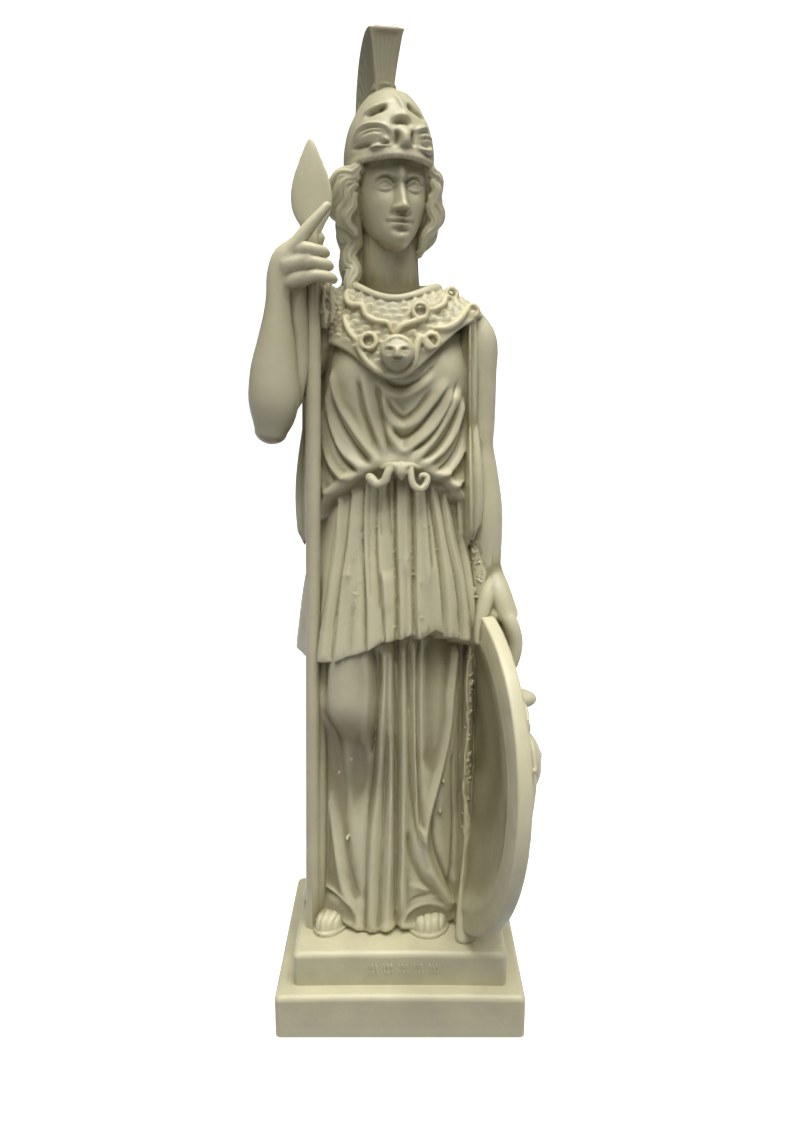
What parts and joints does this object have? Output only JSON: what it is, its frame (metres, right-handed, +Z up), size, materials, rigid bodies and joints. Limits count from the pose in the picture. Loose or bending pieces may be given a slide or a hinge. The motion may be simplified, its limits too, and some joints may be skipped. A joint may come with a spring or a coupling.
{
  "type": "cast statuette of a helmeted goddess",
  "caption": "Cast statuette of a standing helmeted goddess with a spear and a round shield, in one piece with its stepped plinth.",
  "frame": {"origin": "middle of the plinth's underside, on the surface it stands on", "axes": "+Z up; the figure and the plinth's inscription side face -Y; +X is on the shield side"},
  "size_m": [0.0919, 0.1054, 0.2992],
  "materials": {
    "cast_marble_resin": "satin, cream, cast"
  },
  "bodies": {
    "root": {"athena_statue": "cast_marble_resin"}
  },
  "joints": []
}
